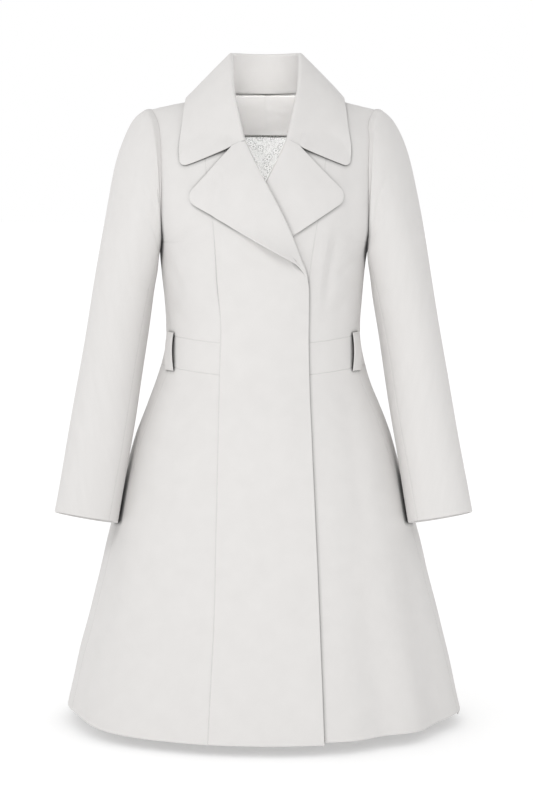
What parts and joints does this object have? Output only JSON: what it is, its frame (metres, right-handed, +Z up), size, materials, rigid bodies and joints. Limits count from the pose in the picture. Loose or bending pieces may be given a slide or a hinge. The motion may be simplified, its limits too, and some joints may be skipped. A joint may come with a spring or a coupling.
{
  "type": "overcoat",
  "caption": "Pale fit-and-flare wool overcoat with a wide notched collar, lapped front, set-in sleeves, waistband with belt loops and a flared skirt, in its worn form.",
  "frame": {"origin": "between the shoulders at the base of the neck, where a wearer carries the coat", "axes": "+X to the wearer's left, -Y to the front, +Z up"},
  "size_m": [0.6166, 0.4328, 0.9881],
  "materials": {
    "wool": "matte",
    "lining": "satin"
  },
  "bodies": {
    "root": {"front_centre_right": "wool", "lapel_right": "wool", "front_side_right": "wool", "waistband_front_right": "wool", "skirt_front_right": "wool", "sleeve_top_right": "wool", "sleeve_under_right": "wool", "belt_loop_right": "wool", "front_centre_left": "wool", "lapel_left": "wool", "front_side_left": "wool", "waistband_front_left": "wool", "skirt_front_left": "wool", "sleeve_top_left": "wool", "sleeve_under_left": "wool", "belt_loop_left": "wool", "back_centre": "wool", "back_side_right": "wool", "back_side_left": "wool", "waistband_back": "wool", "skirt_back_centre": "wool", "skirt_back_right": "wool", "skirt_back_left": "wool", "back_neck_facing": "wool", "back_lining": "lining", "collar": "wool"}
  },
  "joints": []
}
